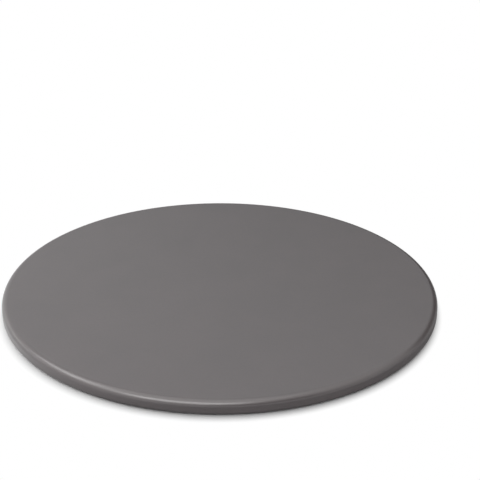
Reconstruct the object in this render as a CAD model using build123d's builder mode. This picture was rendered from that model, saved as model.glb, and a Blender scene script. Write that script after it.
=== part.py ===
"""Round glazed pizza stone: a pressed and fired cordierite slab that stands on a bare foot ring,
and the coat of glaze that is fired onto its baking face, its rounded edge and the turn under it.

The frame has +Z up. The origin is the centre of the stone, on the surface that it stands on.
Every length is in millimetres.
"""

import os
from math import radians, tan

from build123d import *

# The finished stone, measured over its glaze.
stone_diameter = 360.0
stone_thickness = 12.5  # from the standing surface to the baking face
top_edge_radius = 5.0  # round between the baking face and the wall
lower_edge_radius = 2.8  # round that turns the wall under

# The coat of glaze.
glaze_thickness = 0.5
glaze_clearance = 0.7  # air under the glaze, so that it never touches the kiln shelf
glaze_return = 7.0  # how far the glaze runs in under the stone, from the wall
glaze_bead_radius = 0.3  # round of the glaze where it ends

# The bare underside.
foot_setback = 14.0  # from the wall to the outer edge of the foot's standing face
foot_face_width = 12.0  # flat ring that the stone stands on
foot_edge_radius = 0.25  # worn corners of the standing face
foot_root_radius = 0.6  # hollow where the foot meets the border outside it
relief_depth = 0.6  # from the standing face up to the panel inside the foot, so it never rocks
relief_corner_radius = 0.4  # hollow where the foot's inner flank meets the panel
press_draft = 20.0  # degrees from upright of the foot's flanks, so that the slab leaves its die

# Radii and heights that follow from those sizes.
stone_radius = stone_diameter / 2
glaze_line_radius = stone_radius - glaze_return
border_height = glaze_clearance + glaze_thickness
foot_outer_radius = stone_radius - foot_setback
foot_inner_radius = foot_outer_radius - foot_face_width
foot_outer_root = foot_outer_radius + border_height * tan(radians(press_draft))
foot_inner_root = foot_inner_radius - relief_depth * tan(radians(press_draft))


def rim_corners(depth):
    """Give the corners of the glazed outline, at a depth below the finished surface."""
    wall_radius = stone_radius - depth
    baking_height = stone_thickness - depth
    underside_height = glaze_clearance + depth
    return [
        (0, baking_height),
        (wall_radius, baking_height),
        (wall_radius, underside_height),
        (glaze_line_radius, underside_height),
    ]


def rim_radii(depth):
    """Give the rounds at the two rim corners, at a depth below the finished surface."""
    return [top_edge_radius - depth, lower_edge_radius - depth]


# The slab, turned from half of its section. The glaze line is a point on its straight underside,
# so the underside runs on from the rim to the foot's root in one line.
with BuildPart() as stone_body:
    with BuildSketch(Plane.XZ):
        with BuildLine():
            slab_outline = FilletPolyline(
                rim_corners(glaze_thickness)[:-1],
                (foot_outer_root, border_height),
                (foot_outer_radius, 0),
                (foot_inner_radius, 0),
                (foot_inner_root, relief_depth),
                (0, relief_depth),
                radius=[
                    *rim_radii(glaze_thickness),
                    foot_root_radius,
                    foot_edge_radius,
                    foot_edge_radius,
                    relief_corner_radius,
                ],
            )
            Line(slab_outline @ 1, slab_outline @ 0)
        make_face()
    revolve(axis=Axis.Z)
stone_body.part.label = "stone_body"

# The glaze lies on the slab face to face, from the middle of the baking face to the glaze line.
with BuildPart() as glaze_coat:
    with BuildSketch(Plane.XZ) as glaze_section:
        with BuildLine():
            finished_surface = FilletPolyline(rim_corners(0), radius=rim_radii(0))
            bedded_surface = FilletPolyline(
                rim_corners(glaze_thickness), radius=rim_radii(glaze_thickness)
            )
            Line(finished_surface @ 0, bedded_surface @ 0)
            Line(finished_surface @ 1, bedded_surface @ 1)
        make_face()
        bead_corner = glaze_section.vertices().sort_by_distance(
            (glaze_line_radius, glaze_clearance)
        )[0]
        fillet(bead_corner, radius=glaze_bead_radius)
    revolve(axis=Axis.Z)
glaze_coat.part.label = "glaze_coat"

os.makedirs("parts", exist_ok=True)
export_step(stone_body.part, "parts/stone_body.step")
export_step(glaze_coat.part, "parts/glaze_coat.step")

print("stone body volume", round(stone_body.part.volume), "mm3")
print("glaze coat volume", round(glaze_coat.part.volume), "mm3")
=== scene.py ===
"""Looks of the round glazed pizza stone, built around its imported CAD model.

The stone is one pressed and fired slab of cordierite that stands on a bare foot ring. A satin grey glaze
is sprayed over its baking face, its rounded rim and a few millimetres in under it. The two pieces here are
turned from the sections of the CAD nodes that they stand for, with what a kiln adds: a rim that wavers by
hundredths of a millimetre, a glaze line that wanders, and the rolled bead where the glaze stopped flowing.

Everything is in metres, in the frame of the CAD model: +Z is up, and the origin is the centre of the stone
on the surface that it stands on.
"""

import logging
import math
from collections.abc import Sequence
from dataclasses import dataclass
from enum import Enum
from typing import Any, NamedTuple

import bmesh
import bpy
from bpy.types import Material, Node, NodeSocket, NodeTree, Object
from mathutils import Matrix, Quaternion, Vector, noise


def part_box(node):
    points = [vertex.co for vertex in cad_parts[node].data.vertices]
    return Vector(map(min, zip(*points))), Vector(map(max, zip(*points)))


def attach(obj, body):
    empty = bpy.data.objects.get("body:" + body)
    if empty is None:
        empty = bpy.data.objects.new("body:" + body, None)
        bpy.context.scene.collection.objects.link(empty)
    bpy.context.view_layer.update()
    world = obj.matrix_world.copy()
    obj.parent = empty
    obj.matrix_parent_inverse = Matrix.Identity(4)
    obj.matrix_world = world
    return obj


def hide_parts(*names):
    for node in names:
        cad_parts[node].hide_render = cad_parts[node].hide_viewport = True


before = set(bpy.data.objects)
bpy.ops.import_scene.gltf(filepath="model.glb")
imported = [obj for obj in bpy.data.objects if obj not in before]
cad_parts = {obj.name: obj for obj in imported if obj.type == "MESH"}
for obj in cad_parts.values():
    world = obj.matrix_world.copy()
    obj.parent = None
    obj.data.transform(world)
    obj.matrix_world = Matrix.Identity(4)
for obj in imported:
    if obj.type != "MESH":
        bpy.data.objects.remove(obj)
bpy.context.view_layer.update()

MM = 0.001
LOG = logging.getLogger("pizza_stone")

WHITE = (1.0, 1.0, 1.0, 1.0)
FLAT = (1.0, 1.0, 0.0)  # times a place, leaves its part in the plane of the baking face

# The Mix node has a set of sockets for each type of value, so those for colours go by number.
MIX_SHARE, MIX_FIRST, MIX_SECOND = 0, 6, 7
MIX_RESULT = 2


class Slot(Enum):
    """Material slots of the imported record."""

    CORDIERITE = "bare_cordierite"
    GLAZE = "grey_glaze"


class Corner(NamedTuple):
    """A corner of a half section, and the radius that rounds it."""

    radius: float
    height: float
    fillet: float = 0.0


class Noise(NamedTuple):
    """A noise pattern: about how long its features are, and how much finer detail it has."""

    feature: float
    detail: float


class Span(NamedTuple):
    """The stretch of a pattern's values over which a change sets in."""

    start: float
    end: float


def linear(colour: str) -> tuple[float, float, float, float]:
    """Turn an sRGB hex colour into the linear RGBA that Blender's sockets take, by the sRGB standard.

    Args:
        colour: The colour, such as "#5F5D5E".

    Returns:
        Red, green, blue and an alpha of 1.
    """
    shares = [int(colour[i : i + 2], 16) / 255 for i in (1, 3, 5)]
    red, green, blue = (s / 12.92 if s <= 0.04045 else ((s + 0.055) / 1.055) ** 2.4 for s in shares)
    return red, green, blue, 1.0


def add_node(
    tree: NodeTree,
    kind: str,
    settings: dict[str, Any] | None = None,
    inputs: dict[str | int, Any] | None = None,
) -> Node:
    """Add one shader node with its settings, its values and its links.

    Args:
        tree: The tree that takes the node.
        kind: The node's type, such as "ShaderNodeBump".
        settings: The node's own properties, by name.
        inputs: A value or another node's output for each input, by name or number.

    Returns:
        The new node.
    """
    node = tree.nodes.new(kind)
    for name, value in (settings or {}).items():
        setattr(node, name, value)
    for key, value in (inputs or {}).items():
        if isinstance(value, NodeSocket):
            tree.links.new(value, node.inputs[key])
        else:
            node.inputs[key].default_value = value
    return node


def new_material(name: str) -> tuple[Material, NodeTree]:
    """Make an empty node material and give it with its tree."""
    material = bpy.data.materials.new(name)
    material.use_nodes = True
    material.node_tree.nodes.clear()
    return material, material.node_tree


def per_metre(length: float) -> float:
    """Give the texture scale at which one feature of a pattern is about this long."""
    return 1 / length


def smooth_step(value: float, start: float, end: float) -> float:
    """Rise smoothly from 0 at start to 1 at end."""
    share = min(max((value - start) / (end - start), 0.0), 1.0)
    return share * share * (3 - 2 * share)


def ring_noise(angle: float, lobes: float, seed: float) -> float:
    """Give noise from -1 to 1 that closes on itself after a full turn.

    Args:
        angle: The place round the stone, in radians.
        lobes: About how many bumps the turn has.
        seed: Picks one noise out of many.

    Returns:
        The noise at that place.
    """
    reach = lobes / math.tau
    return noise.noise(Vector((reach * math.cos(angle), reach * math.sin(angle), seed)))


@dataclass(frozen=True)
class StoneSizes:
    """Sizes that the slab and its glaze share.

    The first three are read from the frame, and the rest are those of the construction.
    """

    radius: float
    baking_height: float
    glaze_clearance: float
    glaze: float = 0.5 * MM
    top_round: float = 5.0 * MM
    lower_round: float = 2.8 * MM
    glaze_return: float = 7.0 * MM

    @classmethod
    def from_frame(cls) -> "StoneSizes":
        """Read the box of the glaze, which the finished stone is as wide and as high as."""
        low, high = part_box("glaze_coat")
        return cls(radius=high.x, baking_height=high.z, glaze_clearance=low.z)

    @property
    def glaze_line(self) -> float:
        """Radius at which the glaze ends under the stone."""
        return self.radius - self.glaze_return

    @property
    def border_height(self) -> float:
        """Height of the bare clay outside the foot."""
        return self.glaze_clearance + self.glaze

    def rim(self, depth: float) -> list[Corner]:
        """Give the glazed rim's corners, from the axis to under the wall.

        Args:
            depth: How far they lie below the finished surface.

        Returns:
            The corners.
        """
        top = self.baking_height - depth
        wall = self.radius - depth
        return [
            Corner(0.0, top),
            Corner(wall, top, self.top_round - depth),
            Corner(wall, self.glaze_clearance + depth, self.lower_round - depth),
        ]


@dataclass(frozen=True)
class Jigger:
    """Turns half sections about Z, as a potter's jigger turns clay under its template."""

    steps: int = 360
    facet: float = 0.45 * MM
    fewest_facets: int = 4
    ring_spacing: float = 9.0 * MM
    support: float = 0.15 * MM
    doubles: float = 0.001 * MM

    def turn(self, corners: Sequence[Corner]) -> bmesh.types.BMesh:
        """Turn a half section into a closed solid.

        Args:
            corners: The section's corners. The first and the last lie on the axis.

        Returns:
            The solid, with its doubles merged and its faces outwards.
        """
        solid = bmesh.new()
        self._draw_section(solid, corners)
        self._space_rings(solid)
        bmesh.ops.spin(
            solid,
            geom=solid.verts[:] + solid.edges[:],
            cent=(0, 0, 0),
            axis=(0, 0, 1),
            angle=math.tau,
            steps=self.steps,
            use_merge=True,
        )
        bmesh.ops.remove_doubles(solid, verts=solid.verts[:], dist=self.doubles)
        bmesh.ops.recalc_face_normals(solid, faces=solid.faces[:])
        for face in solid.faces:
            face.smooth = True
        return solid

    def _draw_section(self, solid: bmesh.types.BMesh, corners: Sequence[Corner]) -> None:
        """Draw the section as a line of edges and round its corners.

        A support point stands just outside each end of a round, so that smooth shading keeps the flats flat.

        Args:
            solid: The mesh that takes the section.
            corners: The section's corners.
        """
        places = [Vector((corner.radius, 0.0, corner.height)) for corner in corners]
        line = [solid.verts.new(places[0])]
        rounded = []
        for before, place, after, corner in zip(places, places[1:], places[2:], corners[1:]):
            turn = (place - before).angle(after - place)
            tangent = corner.fillet * math.tan(turn / 2)
            reach = tangent + self.support
            line.append(solid.verts.new(place + (before - place).normalized() * reach))
            line.append(solid.verts.new(place))
            rounded.append((line[-1], tangent, corner.fillet * turn))
            line.append(solid.verts.new(place + (after - place).normalized() * reach))
        line.append(solid.verts.new(places[-1]))
        for pair in zip(line, line[1:]):
            solid.edges.new(pair)
        for point, tangent, arc in rounded:
            bmesh.ops.bevel(
                solid,
                geom=[point],
                offset=tangent,
                offset_type="OFFSET",
                segments=max(self.fewest_facets, round(arc / self.facet)),
                profile=0.5,
                affect="VERTICES",
                material=-1,
            )

    def _space_rings(self, solid: bmesh.types.BMesh) -> None:
        """Divide the section's long straight edges, so that the turned faces can follow the kiln's warp.

        Args:
            solid: The mesh with the section.
        """
        for edge in solid.edges[:]:
            cuts = int(edge.calc_length() / self.ring_spacing)
            if cuts:
                bmesh.ops.subdivide_edges(solid, edges=[edge], cuts=cuts)


@dataclass(frozen=True)
class KilnWarp:
    """How far firing takes the rim from a true round, always inwards, so the stone keeps its size."""

    in_and_out: float = 0.08 * MM
    up_and_down: float = 0.05 * MM
    lobes: float = 26.0
    reach: float = 14.0 * MM
    seed: float = 3.7

    def apply(self, solid: bmesh.types.BMesh, sizes: StoneSizes) -> None:
        """Warp the solid's rim. The slab and its glaze take the same warp, so they stay together.

        Args:
            solid: The turned solid.
            sizes: The stone's sizes.
        """
        for point in solid.verts:
            away = math.hypot(point.co.x, point.co.y)
            weight = smooth_step(away, sizes.radius - self.reach, sizes.radius)
            if not weight:
                continue
            angle = math.atan2(point.co.y, point.co.x)
            inwards = self.in_and_out * (1 + ring_noise(angle, self.lobes, self.seed)) / 2
            down = self.up_and_down * (1 + ring_noise(angle, self.lobes, -self.seed)) / 2
            shrink = 1 - weight * inwards / away
            point.co.x *= shrink
            point.co.y *= shrink
            point.co.z -= weight * down * point.co.z / sizes.baking_height


def make_piece(name: str, solid: bmesh.types.BMesh, material: Material, node: str) -> Object:
    """Turn a finished solid into a piece that stands for a CAD node.

    Args:
        name: The piece's name.
        solid: Its mesh, which is freed.
        material: Its finish.
        node: The CAD node that it stands for.

    Returns:
        The piece.
    """
    mesh = bpy.data.meshes.new(name)
    solid.to_mesh(mesh)
    solid.free()
    mesh.materials.append(material)
    piece = bpy.data.objects.new(name, mesh)
    bpy.context.scene.collection.objects.link(piece)
    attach(piece, "root")
    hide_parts(node)
    return piece


@dataclass(frozen=True)
class SprayedSatinGlaze:
    """Grey satin glaze on cordierite clay, sprayed on in one coat and fired to about 1200 degrees.

    Small crystals that grow in it as it cools scatter its reflections, so the eye sees an even grey with a
    soft sheen and no sharp mirror image. The spray leaves a faint orange peel, and the coat is a little
    thinner on the round of the rim.
    """

    colour: str = "#605A5B"
    thick_colour: str = "#5D5859"
    thin_colour: str = "#645E5D"
    fleck_colour: str = "#555051"
    roughness: float = 0.28  # below about 0.274 the denoiser takes the face for a mirror and draws outlines
    rougher: float = 0.31
    ior: float = 1.7  # glazes have 1.5 to 1.6, and this stone's strong sheen takes a little more
    cloud: Noise = Noise(34 * MM, 2.0)
    cloud_span: Span = Span(0.2, 0.8)
    fleck: Noise = Noise(1.3 * MM, 1.0)  # real flecks are half as wide, and would not show at all
    fleck_span: Span = Span(0.4, 0.8)
    fleck_share: float = 0.35
    round_end_share: float = 0.2  # of the top round's radius, the depth that still counts in full
    thinnest: float = 0.8  # how far onto the round, from 0 to 1, the coat is thinnest
    thin_share: float = 0.4
    peel: Noise = Noise(4.5 * MM, 1.0)
    peel_depth: float = 0.006 * MM
    crystal: Noise = Noise(0.6 * MM, 1.0)
    crystal_depth: float = 0.0006 * MM

    def make(self, sizes: StoneSizes) -> Material:
        """Make the material.

        Args:
            sizes: The stone's sizes, which say where the rim's round is.

        Returns:
            The glaze.
        """
        material, tree = new_material("satin_glaze_sprayed")
        place = add_node(tree, "ShaderNodeTexCoord").outputs["Object"]
        cloud, fleck, peel, crystal = (
            add_node(
                tree,
                "ShaderNodeTexNoise",
                inputs={"Vector": place, "Scale": per_metre(pattern.feature), "Detail": pattern.detail},
            ).outputs["Fac"]
            for pattern in (self.cloud, self.fleck, self.peel, self.crystal)
        )

        # The coat's thickness clouds its grey by a shade, and flecks of undissolved stain lie in it.
        thick = add_node(
            tree,
            "ShaderNodeMapRange",
            {"interpolation_type": "SMOOTHSTEP"},
            {"Value": cloud, "From Min": self.cloud_span.start, "From Max": self.cloud_span.end},
        ).outputs["Result"]
        clouded = add_node(
            tree,
            "ShaderNodeMix",
            {"data_type": "RGBA"},
            {MIX_SHARE: thick, MIX_FIRST: linear(self.colour), MIX_SECOND: linear(self.thick_colour)},
        ).outputs[MIX_RESULT]
        stain = add_node(
            tree,
            "ShaderNodeMapRange",
            inputs={
                "Value": fleck,
                "From Min": self.fleck_span.start,
                "From Max": self.fleck_span.end,
                "To Max": self.fleck_share,
            },
        ).outputs["Result"]
        flecked = add_node(
            tree,
            "ShaderNodeMix",
            {"data_type": "RGBA"},
            {MIX_SHARE: stain, MIX_FIRST: clouded, MIX_SECOND: linear(self.fleck_colour)},
        ).outputs[MIX_RESULT]

        # On the rim's round the coat is thinner, and the pale clay lifts its grey a little.
        level = add_node(
            tree, "ShaderNodeVectorMath", {"operation": "MULTIPLY"}, {0: place, 1: FLAT}
        ).outputs["Vector"]
        away = add_node(tree, "ShaderNodeVectorMath", {"operation": "LENGTH"}, {0: level}).outputs["Value"]
        height = add_node(tree, "ShaderNodeSeparateXYZ", inputs={"Vector": place}).outputs["Z"]
        out_to_round, up_to_round = (
            add_node(
                tree,
                "ShaderNodeMapRange",
                {"interpolation_type": "SMOOTHSTEP"},
                {
                    "Value": measure,
                    "From Min": surface - sizes.top_round,
                    "From Max": surface - sizes.top_round * self.round_end_share,
                },
            ).outputs["Result"]
            for measure, surface in ((away, sizes.radius), (height, sizes.baking_height))
        )
        on_round = add_node(
            tree, "ShaderNodeMath", {"operation": "MULTIPLY"}, {0: out_to_round, 1: up_to_round}
        ).outputs["Value"]
        thin = add_node(
            tree,
            "ShaderNodeMapRange",
            inputs={"Value": on_round, "From Max": self.thinnest, "To Max": self.thin_share},
        ).outputs["Result"]
        thinned = add_node(
            tree,
            "ShaderNodeMix",
            {"data_type": "RGBA"},
            {MIX_SHARE: thin, MIX_FIRST: flecked, MIX_SECOND: linear(self.thin_colour)},
        ).outputs[MIX_RESULT]

        matt = add_node(
            tree,
            "ShaderNodeMapRange",
            inputs={
                "Value": cloud,
                "From Min": self.cloud_span.start,
                "From Max": self.cloud_span.end,
                "To Min": self.roughness,
                "To Max": self.rougher,
            },
        ).outputs["Result"]
        peeled = add_node(
            tree, "ShaderNodeBump", inputs={"Strength": 1.0, "Distance": self.peel_depth, "Height": peel}
        ).outputs["Normal"]
        grained = add_node(
            tree,
            "ShaderNodeBump",
            inputs={"Strength": 1.0, "Distance": self.crystal_depth, "Height": crystal, "Normal": peeled},
        ).outputs["Normal"]
        glaze = add_node(
            tree,
            "ShaderNodeBsdfPrincipled",
            inputs={"Base Color": thinned, "Roughness": matt, "IOR": self.ior, "Normal": grained},
        ).outputs["BSDF"]
        add_node(tree, "ShaderNodeOutputMaterial", inputs={"Surface": glaze})
        return material


@dataclass(frozen=True)
class PressedCordierite:
    """Cordierite clay with ground fired clay in it, pressed dry in a die and fired bare.

    It stays porous, so the eye sees a dead matt cream with darker and paler grains, pinholes where grains
    were plucked, and a toasted band beside the glaze, whose fumes colour the clay.
    """

    colour: str = "#CDC0AC"
    warm_colour: str = "#C4B39A"
    toasted_colour: str = "#B08E68"
    dark_grain_colour: str = "#8C7862"
    pale_grain_colour: str = "#E4DAC8"
    worn_colour: str = "#B9AE9C"
    roughness: float = 0.92
    ior: float = 1.45
    cloud: Noise = Noise(28 * MM, 4.0)
    cloud_span: Span = Span(0.35, 0.7)
    grain: float = 1.6 * MM
    grain_edge: Span = Span(0.2, 0.42)  # in grain lengths from its middle, where it blends into the clay
    plain_grains: float = 0.8  # the share of grains that are clay like the rest, in each of the two draws
    dark_share: float = 0.75
    pale_share: float = 0.8
    pinhole: float = 2.4 * MM
    pinhole_edge: Span = Span(0.08, 0.2)
    pinhole_depth: float = 0.15 * MM
    sand: Noise = Noise(0.5 * MM, 2.0)
    sand_depth: float = 0.04 * MM
    toast_reach: float = 5.0 * MM
    toast_wander: float = 6.0 * MM
    toast_share: float = 0.7
    worn_height: float = 0.12 * MM

    def make(self, sizes: StoneSizes) -> Material:
        """Make the material.

        Args:
            sizes: The stone's sizes, which say where the glaze ends.

        Returns:
            The bare cordierite.
        """
        material, tree = new_material("cordierite_dry_pressed")
        place = add_node(tree, "ShaderNodeTexCoord").outputs["Object"]
        cloud, sand = (
            add_node(
                tree,
                "ShaderNodeTexNoise",
                inputs={"Vector": place, "Scale": per_metre(pattern.feature), "Detail": pattern.detail},
            ).outputs["Fac"]
            for pattern in (self.cloud, self.sand)
        )
        grains, pinholes = (
            add_node(tree, "ShaderNodeTexVoronoi", inputs={"Vector": place, "Scale": per_metre(length)})
            for length in (self.grain, self.pinhole)
        )

        warm = add_node(
            tree,
            "ShaderNodeMapRange",
            inputs={"Value": cloud, "From Min": self.cloud_span.start, "From Max": self.cloud_span.end},
        ).outputs["Result"]
        coloured = add_node(
            tree,
            "ShaderNodeMix",
            {"data_type": "RGBA"},
            {MIX_SHARE: warm, MIX_FIRST: linear(self.colour), MIX_SECOND: linear(self.warm_colour)},
        ).outputs[MIX_RESULT]

        # Each grain's cell draws two numbers that say whether it is dark, pale or clay like the rest.
        lot = add_node(tree, "ShaderNodeSeparateColor", inputs={"Color": grains.outputs["Color"]})
        core = add_node(
            tree,
            "ShaderNodeMapRange",
            inputs={
                "Value": grains.outputs["Distance"],
                "From Min": self.grain_edge.start,
                "From Max": self.grain_edge.end,
                "To Min": 1.0,
                "To Max": 0.0,
            },
        ).outputs["Result"]
        for draw, colour, share in (
            (lot.outputs["Red"], self.dark_grain_colour, self.dark_share),
            (lot.outputs["Green"], self.pale_grain_colour, self.pale_share),
        ):
            drawn = add_node(
                tree, "ShaderNodeMath", {"operation": "GREATER_THAN"}, {0: draw, 1: self.plain_grains}
            ).outputs["Value"]
            shown = add_node(
                tree, "ShaderNodeMath", {"operation": "MULTIPLY"}, {0: drawn, 1: core}
            ).outputs["Value"]
            faded = add_node(
                tree, "ShaderNodeMath", {"operation": "MULTIPLY"}, {0: shown, 1: share}
            ).outputs["Value"]
            coloured = add_node(
                tree,
                "ShaderNodeMix",
                {"data_type": "RGBA"},
                {MIX_SHARE: faded, MIX_FIRST: coloured, MIX_SECOND: linear(colour)},
            ).outputs[MIX_RESULT]

        # The clouds make the toasted band ragged. Their mean is a half, so it is set off by half its wander.
        level = add_node(
            tree, "ShaderNodeVectorMath", {"operation": "MULTIPLY"}, {0: place, 1: FLAT}
        ).outputs["Vector"]
        away = add_node(tree, "ShaderNodeVectorMath", {"operation": "LENGTH"}, {0: level}).outputs["Value"]
        ragged = add_node(
            tree, "ShaderNodeMath", {"operation": "MULTIPLY_ADD"}, {0: cloud, 1: self.toast_wander, 2: away}
        ).outputs["Value"]
        most_toasted = sizes.glaze_line + self.toast_wander / 2
        toast = add_node(
            tree,
            "ShaderNodeMapRange",
            {"interpolation_type": "SMOOTHSTEP"},
            {
                "Value": ragged,
                "From Min": most_toasted - self.toast_reach,
                "From Max": most_toasted,
                "To Max": self.toast_share,
            },
        ).outputs["Result"]
        toasted = add_node(
            tree,
            "ShaderNodeMix",
            {"data_type": "RGBA"},
            {MIX_SHARE: toast, MIX_FIRST: coloured, MIX_SECOND: linear(self.toasted_colour)},
        ).outputs[MIX_RESULT]

        # The kiln shelf and years of racks rub the standing face darker, in patches.
        height = add_node(tree, "ShaderNodeSeparateXYZ", inputs={"Vector": place}).outputs["Z"]
        low = add_node(
            tree,
            "ShaderNodeMapRange",
            inputs={
                "Value": height,
                "From Min": 0.0,
                "From Max": self.worn_height,
                "To Min": 1.0,
                "To Max": 0.0,
            },
        ).outputs["Result"]
        patchy = add_node(
            tree, "ShaderNodeMath", {"operation": "MULTIPLY"}, {0: low, 1: cloud}
        ).outputs["Value"]
        worn = add_node(
            tree,
            "ShaderNodeMix",
            {"data_type": "RGBA"},
            {MIX_SHARE: patchy, MIX_FIRST: toasted, MIX_SECOND: linear(self.worn_colour)},
        ).outputs[MIX_RESULT]

        plucked = add_node(
            tree,
            "ShaderNodeMapRange",
            inputs={
                "Value": pinholes.outputs["Distance"],
                "From Min": self.pinhole_edge.start,
                "From Max": self.pinhole_edge.end,
            },
        ).outputs["Result"]
        sandy = add_node(
            tree, "ShaderNodeBump", inputs={"Strength": 1.0, "Distance": self.sand_depth, "Height": sand}
        ).outputs["Normal"]
        pitted = add_node(
            tree,
            "ShaderNodeBump",
            inputs={"Strength": 1.0, "Distance": self.pinhole_depth, "Height": plucked, "Normal": sandy},
        ).outputs["Normal"]
        clay = add_node(
            tree,
            "ShaderNodeBsdfPrincipled",
            inputs={"Base Color": worn, "Roughness": self.roughness, "IOR": self.ior, "Normal": pitted},
        ).outputs["BSDF"]
        add_node(tree, "ShaderNodeOutputMaterial", inputs={"Surface": clay})
        return material


@dataclass(frozen=True)
class CordieriteSlab:
    """The pressed and fired slab, bare below and glazed above."""

    sizes: StoneSizes
    foot_setback: float = 14.0 * MM
    foot_width: float = 12.0 * MM
    foot_edge: float = 0.25 * MM
    foot_root: float = 0.6 * MM
    relief: float = 0.6 * MM
    relief_corner: float = 0.4 * MM
    draft: float = math.radians(20)

    def section(self) -> list[Corner]:
        """Give the slab's half section, from the middle of its top to the middle of its underside."""
        sizes = self.sizes
        foot_outer = sizes.radius - self.foot_setback
        foot_inner = foot_outer - self.foot_width
        root = foot_outer + sizes.border_height * math.tan(self.draft)
        return [
            *sizes.rim(sizes.glaze),
            Corner(root, sizes.border_height, self.foot_root),
            Corner(foot_outer, 0.0, self.foot_edge),
            Corner(foot_inner, 0.0, self.foot_edge),
            Corner(foot_inner - self.relief * math.tan(self.draft), self.relief, self.relief_corner),
            Corner(0.0, self.relief),
        ]

    def build(self, jigger: Jigger, warp: KilnWarp, finish: PressedCordierite) -> Object:
        """Turn, warp and dress the slab.

        Args:
            jigger: Turns the section.
            warp: Warps the rim.
            finish: The bare clay.

        Returns:
            The slab.
        """
        solid = jigger.turn(self.section())
        warp.apply(solid, self.sizes)
        material = finish.make(self.sizes)
        return make_piece("cordierite_slab", solid, material, "stone_body")


@dataclass(frozen=True)
class GlazeCoat:
    """The coat of glaze, a closed shell that ends in a rolled bead under the stone."""

    sizes: StoneSizes
    clay_gap: float = 0.02 * MM
    bead_width: float = 1.6 * MM
    bead_drop: float = 0.15 * MM
    bead_round: float = 0.3 * MM
    bead_shoulder: float = 1.5 * MM
    line_wander: float = 0.7 * MM
    wander_reach: float = 3.2 * MM
    wander_lobes: float = 60.0
    seed: float = 11.3

    def section(self) -> list[Corner]:
        """Give the coat's half section, out over its surface, round the bead and back beside the clay."""
        sizes = self.sizes
        under = sizes.glaze_clearance
        lining = sizes.glaze - self.clay_gap
        return [
            *sizes.rim(0.0),
            Corner(sizes.glaze_line + self.bead_width, under, self.bead_shoulder),
            Corner(sizes.glaze_line, under - self.bead_drop, self.bead_round),
            Corner(sizes.glaze_line, under + lining),
            *reversed(sizes.rim(lining)),
        ]

    def build(self, jigger: Jigger, warp: KilnWarp, finish: SprayedSatinGlaze) -> Object:
        """Turn, warp and dress the coat.

        Args:
            jigger: Turns the section.
            warp: Warps the rim.
            finish: The glaze.

        Returns:
            The coat.
        """
        solid = jigger.turn(self.section())
        warp.apply(solid, self.sizes)
        self._wander_line(solid)
        return make_piece("satin_glaze", solid, finish.make(self.sizes), "glaze_coat")

    def _wander_line(self, solid: bmesh.types.BMesh) -> None:
        """Move the bead in and out, because glaze never stops on a true circle.

        Args:
            solid: The turned coat.
        """
        line = self.sizes.glaze_line
        for point in solid.verts:
            away = math.hypot(point.co.x, point.co.y)
            if point.co.z > self.sizes.border_height or away < line - self.bead_width:
                continue
            angle = math.atan2(point.co.y, point.co.x)
            weight = 1 - smooth_step(away, line, line + self.wander_reach)
            stretch = 1 + weight * self.line_wander * ring_noise(angle, self.wander_lobes, self.seed) / away
            point.co.x *= stretch
            point.co.y *= stretch


@dataclass(frozen=True)
class Softbox:
    """A rectangular softbox that is aimed at the stone.

    Its azimuth and elevation are in degrees. Azimuth 0 is the camera's side, and 90 is the right.
    """

    name: str
    azimuth: float
    elevation: float
    distance: float
    width: float
    height: float
    watts: float
    reflected: bool = True  # whether reflections see it, or it only fills

    def build(self) -> Object:
        """Make the lamp."""
        azimuth, elevation = math.radians(self.azimuth), math.radians(self.elevation)
        outwards = Vector(
            (
                math.sin(azimuth) * math.cos(elevation),
                -math.cos(azimuth) * math.cos(elevation),
                math.sin(elevation),
            )
        )
        light = bpy.data.lights.new(self.name, "AREA")
        light.shape = "RECTANGLE"
        light.size = self.width
        light.size_y = self.height
        light.energy = self.watts
        lamp = bpy.data.objects.new(self.name, light)
        lamp.location = outwards * self.distance
        lamp.rotation_mode = "QUATERNION"
        lamp.rotation_quaternion = (-outwards).to_track_quat("-Z", "Y")
        lamp.visible_camera = False
        lamp.visible_glossy = self.reflected
        bpy.context.scene.collection.objects.link(lamp)
        return lamp


@dataclass(frozen=True)
class Camera:
    """The camera, at the photograph's viewing angle. It stands on the stone's -Y side.

    Its elevation and roll are in degrees, and its lens and sensor in millimetres.
    """

    elevation: float = 27.344
    radii_away: float = 7.0
    aim: tuple[float, float, float] = (0.01633, 0.0, 0.0573)
    roll: float = 0.31
    lens: float = 113.26
    sensor: float = 36.0

    def build(self, sizes: StoneSizes) -> Object:
        """Make the camera and set it as the scene's.

        Args:
            sizes: The stone's sizes, which the distance is counted in.

        Returns:
            The camera.
        """
        elevation = math.radians(self.elevation)
        back = Vector((0.0, -math.cos(elevation), math.sin(elevation)))
        place = Vector((0.0, 0.0, sizes.baking_height / 2)) + back * self.radii_away * sizes.radius
        data = bpy.data.cameras.new("photo_camera")
        data.sensor_width = self.sensor
        data.lens = self.lens
        camera = bpy.data.objects.new("photo_camera", data)
        camera.location = place
        camera.rotation_mode = "QUATERNION"
        facing = (Vector(self.aim) - place).to_track_quat("-Z", "Y")
        camera.rotation_quaternion = facing @ Quaternion((0, 0, 1), math.radians(self.roll))
        bpy.context.scene.collection.objects.link(camera)
        bpy.context.scene.camera = camera
        return camera


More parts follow.
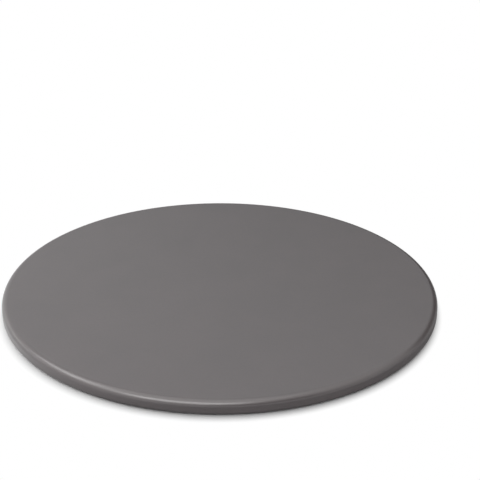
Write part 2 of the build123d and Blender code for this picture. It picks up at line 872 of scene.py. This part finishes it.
@dataclass(frozen=True)
class Backdrop:
    """The white surroundings. They show where a ray sees them, and the softboxes alone light the stone.

    Reflections see them white overhead and on the left. Elsewhere the white falls off towards the horizon,
    so the rim has no bright line behind or on the right.
    """

    rise: tuple[float, float, float] = (-0.33, 0.0, 1.0)  # up, and a little to the left
    dark_rise: float = 0.21  # how far a direction goes along the rise where the white starts
    white_rise: float = 0.48  # and where it is full
    white_left: float = -0.6  # X of a direction, on the left, at which reflections see full white

    def build(self) -> None:
        """Make the world."""
        world = bpy.data.worlds.new("studio_backdrop")
        world.use_nodes = True
        tree = world.node_tree
        tree.nodes.clear()
        direction = add_node(tree, "ShaderNodeTexCoord").outputs["Generated"]
        rise = add_node(
            tree, "ShaderNodeVectorMath", {"operation": "DOT_PRODUCT"}, {0: direction, 1: self.rise}
        ).outputs["Value"]
        overhead = add_node(
            tree,
            "ShaderNodeMapRange",
            inputs={"Value": rise, "From Min": self.dark_rise, "From Max": self.white_rise},
        ).outputs["Result"]
        left = add_node(tree, "ShaderNodeSeparateXYZ", inputs={"Vector": direction}).outputs["X"]
        on_the_left = add_node(
            tree, "ShaderNodeMapRange", inputs={"Value": left, "From Max": self.white_left}
        ).outputs["Result"]
        reflected = add_node(
            tree, "ShaderNodeMath", {"operation": "ADD", "use_clamp": True}, {0: overhead, 1: on_the_left}
        ).outputs["Value"]
        rays = add_node(tree, "ShaderNodeLightPath").outputs
        glossy = add_node(
            tree, "ShaderNodeMath", {"operation": "MULTIPLY"}, {0: rays["Is Glossy Ray"], 1: reflected}
        ).outputs["Value"]
        through_glass = add_node(
            tree, "ShaderNodeMath", {"operation": "ADD"}, {0: rays["Is Transmission Ray"], 1: glossy}
        ).outputs["Value"]
        strength = add_node(
            tree,
            "ShaderNodeMath",
            {"operation": "ADD", "use_clamp": True},
            {0: rays["Is Camera Ray"], 1: through_glass},
        ).outputs["Value"]
        white = add_node(
            tree, "ShaderNodeBackground", inputs={"Color": WHITE, "Strength": strength}
        ).outputs["Background"]
        add_node(tree, "ShaderNodeOutputWorld", inputs={"Surface": white})
        world.cycles.sampling_method = "NONE"
        bpy.context.scene.world = world


class Fade(NamedTuple):
    """A circle in which the floor is itself, and from which it fades to the backdrop's white."""

    centre: tuple[float, float, float]
    start: float
    end: float


@dataclass(frozen=True)
class Floor:
    """A painted floor that keeps the stone's shadow and is as white as the backdrop beyond it.

    Close round the stone it is painted grey, which paints shade there on top of the stone's real shadow. The
    camera sees it turn white within ten millimetres of the rim, so that only the shadow and painted shade
    beside the stone are left. Reflections see it turn white further out in front, and hardly at all on the
    right.
    """

    size: float = 12.0
    drop: float = 0.05 * MM
    # grey where the camera sees it close round the stone: painted shade on top of the stone's real shadow
    colour: str = "#D4D4D4"
    bounce_colour: str = "#A8A8A8"
    # where, for the camera, the painted shade round the stone ends and the floor turns white
    painted_shadow_fade: Fade = Fade((0.0, -5.0 * MM, 0.0), 174.0 * MM, 184.5 * MM)
    reflected_fade: Fade = Fade((17.0 * MM, -35.0 * MM, 0.0), 157.0 * MM, 190.0 * MM)
    right_start: float = 165.0 * MM  # right of the centre, where the reflected white starts to fall off
    right_end: float = 205.0 * MM
    right_share: float = 0.1  # of that white, what is left further right

    def build(self) -> Object:
        """Make the floor. It is a hair below the stone, so it and the foot's face never share a place."""
        sheet = bmesh.new()
        bmesh.ops.create_grid(sheet, x_segments=1, y_segments=1, size=self.size / 2)
        bmesh.ops.translate(sheet, verts=sheet.verts[:], vec=(0.0, 0.0, -self.drop))
        mesh = bpy.data.meshes.new("studio_floor")
        sheet.to_mesh(mesh)
        sheet.free()
        mesh.materials.append(self._make_paint())
        floor = bpy.data.objects.new("studio_floor", mesh)
        bpy.context.scene.collection.objects.link(floor)
        return floor

    def _make_paint(self) -> Material:
        """Make the floor's paint: grey near the stone, which paints shade there, and glowing white in the
        distance, where a ray sees it.

        Returns:
            The paint.
        """
        material, tree = new_material("painted_sweep")
        rays = add_node(tree, "ShaderNodeLightPath").outputs
        mirrored = add_node(
            tree,
            "ShaderNodeMath",
            {"operation": "ADD"},
            {0: rays["Is Glossy Ray"], 1: rays["Is Transmission Ray"]},
        ).outputs["Value"]
        # The camera sees the grey paint, whose painted shade lies round the stone; light and reflections see
        # the bounce colour.
        colour = add_node(
            tree,
            "ShaderNodeMix",
            {"data_type": "RGBA"},
            {
                MIX_SHARE: rays["Is Camera Ray"],
                MIX_FIRST: linear(self.bounce_colour),
                MIX_SECOND: linear(self.colour),
            },
        ).outputs[MIX_RESULT]
        near = add_node(tree, "ShaderNodeBsdfDiffuse", inputs={"Color": colour}).outputs["BSDF"]
        far = add_node(tree, "ShaderNodeEmission", inputs={"Strength": 1.0}).outputs["Emission"]
        place = add_node(tree, "ShaderNodeTexCoord").outputs["Object"]

        # The reflected white ends on the right, so the rim has no bright line there.
        right = add_node(tree, "ShaderNodeSeparateXYZ", inputs={"Vector": place}).outputs["X"]
        kept = add_node(
            tree,
            "ShaderNodeMapRange",
            {"interpolation_type": "SMOOTHSTEP"},
            {
                "Value": right,
                "From Min": self.right_start,
                "From Max": self.right_end,
                "To Min": 1.0,
                "To Max": self.right_share,
            },
        ).outputs["Result"]
        mirrored = add_node(
            tree, "ShaderNodeMath", {"operation": "MULTIPLY"}, {0: mirrored, 1: kept}
        ).outputs["Value"]

        surface = near
        for fade, ray in ((self.painted_shadow_fade, rays["Is Camera Ray"]), (self.reflected_fade, mirrored)):
            away = add_node(
                tree, "ShaderNodeVectorMath", {"operation": "DISTANCE"}, {0: place, 1: fade.centre}
            ).outputs["Value"]
            share = add_node(
                tree,
                "ShaderNodeMapRange",
                {"interpolation_type": "SMOOTHSTEP"},
                {"Value": away, "From Min": fade.start, "From Max": fade.end, "To Max": ray},
            ).outputs["Result"]
            surface = add_node(
                tree, "ShaderNodeMixShader", inputs={0: share, 1: surface, 2: far}
            ).outputs["Shader"]
        add_node(tree, "ShaderNodeOutputMaterial", inputs={"Surface": surface})
        return material


@dataclass(frozen=True)
class Studio:
    """The studio: the camera, the backdrop, the floor and the softboxes.

    Two strips, in front and on the left, give the rim its highlight. A small softbox near the left makes the
    face paler there, and a low one further back lights the left end of the wall. A wide one on the right and
    one overhead light the rest, and a low fill lifts the wall on the right.
    """

    camera: Camera = Camera()
    backdrop: Backdrop = Backdrop()
    floor: Floor = Floor()
    softboxes: tuple[Softbox, ...] = (
        Softbox("front_strip", -17, 35.5, 1.5, 1.3, 0.62, 9.3),
        Softbox("left_strip", -62, 34, 1.5, 1.4, 0.62, 3.4),
        Softbox("near_left_softbox", -88, 40, 0.75, 0.42, 0.3, 1.1),
        Softbox("low_left_softbox", -108, 12, 0.9, 0.7, 0.22, 0.45),
        Softbox("right_softbox", 78, 22, 1.5, 1.8, 1.1, 3.9),
        Softbox("overhead_softbox", -30, 72, 1.5, 2.2, 1.75, 8.8),
        Softbox("low_right_fill", 85, 7, 1.2, 1.0, 0.28, 3.0, reflected=False),
    )

    def build(self, sizes: StoneSizes) -> None:
        """Make the camera, the lamps, the backdrop and the floor.

        Args:
            sizes: The stone's sizes.
        """
        bpy.context.scene.view_settings.view_transform = "Standard"
        self.camera.build(sizes)
        self.backdrop.build()
        self.floor.build()
        for softbox in self.softboxes:
            softbox.build()


def report(piece: Object) -> None:
    """Log a finished piece's name, size and number of faces.

    Args:
        piece: The piece.
    """
    width, depth, height = (length / MM for length in piece.dimensions)
    faces = len(piece.data.polygons)
    LOG.info("%s: %.1f x %.1f x %.1f mm, %d faces", piece.name, width, depth, height, faces)


def main() -> None:
    """Build the stone and the studio."""
    logging.basicConfig(level=logging.INFO, format="%(message)s")
    sizes = StoneSizes.from_frame()
    jigger = Jigger()
    warp = KilnWarp()
    report(CordieriteSlab(sizes).build(jigger, warp, PressedCordierite()))
    report(GlazeCoat(sizes).build(jigger, warp, SprayedSatinGlaze()))
    Studio().build(sizes)


if __name__ == "__main__":
    main()
